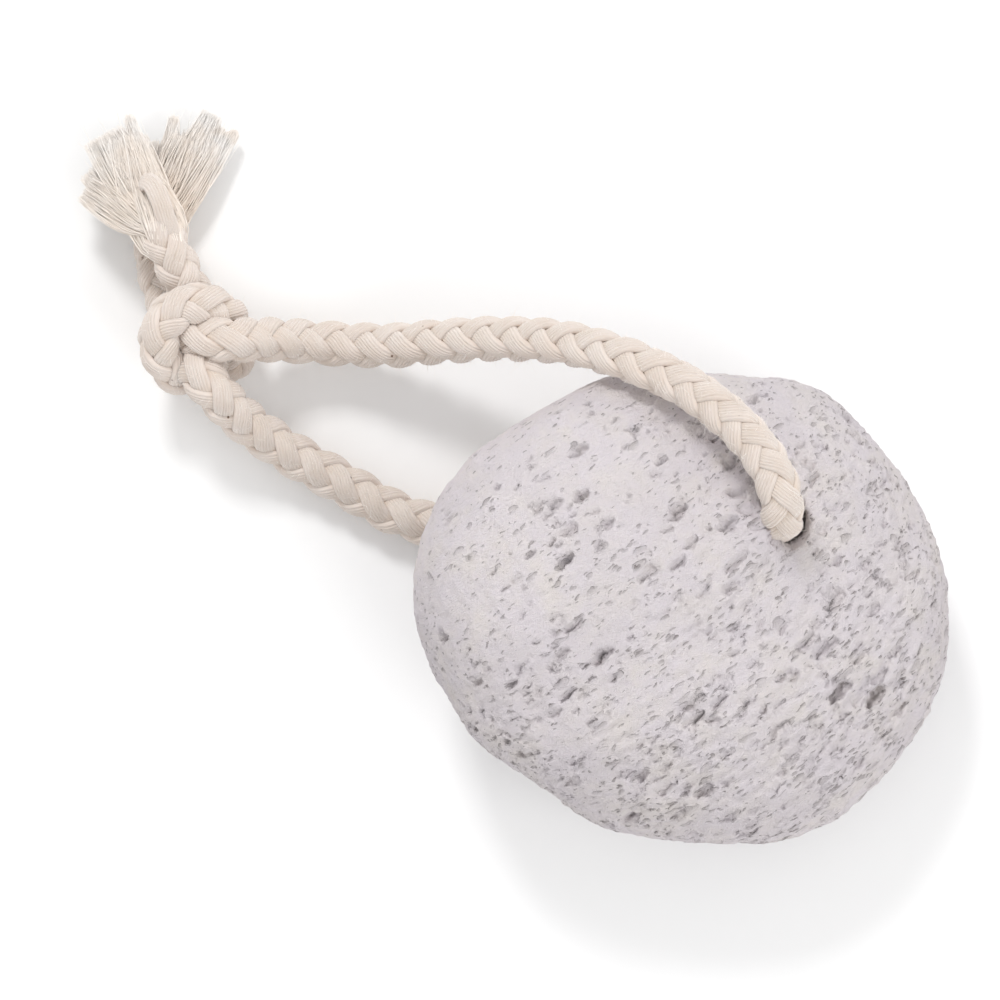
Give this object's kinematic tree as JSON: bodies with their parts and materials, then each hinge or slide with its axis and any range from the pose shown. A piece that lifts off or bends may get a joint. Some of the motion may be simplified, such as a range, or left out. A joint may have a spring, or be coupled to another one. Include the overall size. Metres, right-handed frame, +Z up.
{
  "type": "pumice stone on a cord",
  "caption": "Rounded natural pumice foot stone, drilled through, on a loop of braided cotton cord tied in a knot with frayed ends.",
  "frame": {"origin": "on the table under the middle of the stone, with the cord left out", "axes": "+X along the stone's longest way, +Y across it towards the side that the upper run of cord leaves by, +Z up from the table; the stone leans as it rests on its cord"},
  "size_m": [0.1517, 0.1267, 0.0519],
  "materials": {
    "pumice": "rough, porous and matt",
    "cotton_cord": "undyed round braid, matt"
  },
  "bodies": {
    "root": {"stone": "pumice", "cord_upper_run": "cotton_cord", "cord_lower_run": "cotton_cord", "knot": "cotton_cord", "tail_back": "cotton_cord", "tail_front": "cotton_cord", "frayed_end_back": "cotton_cord", "frayed_end_front": "cotton_cord"}
  },
  "joints": []
}
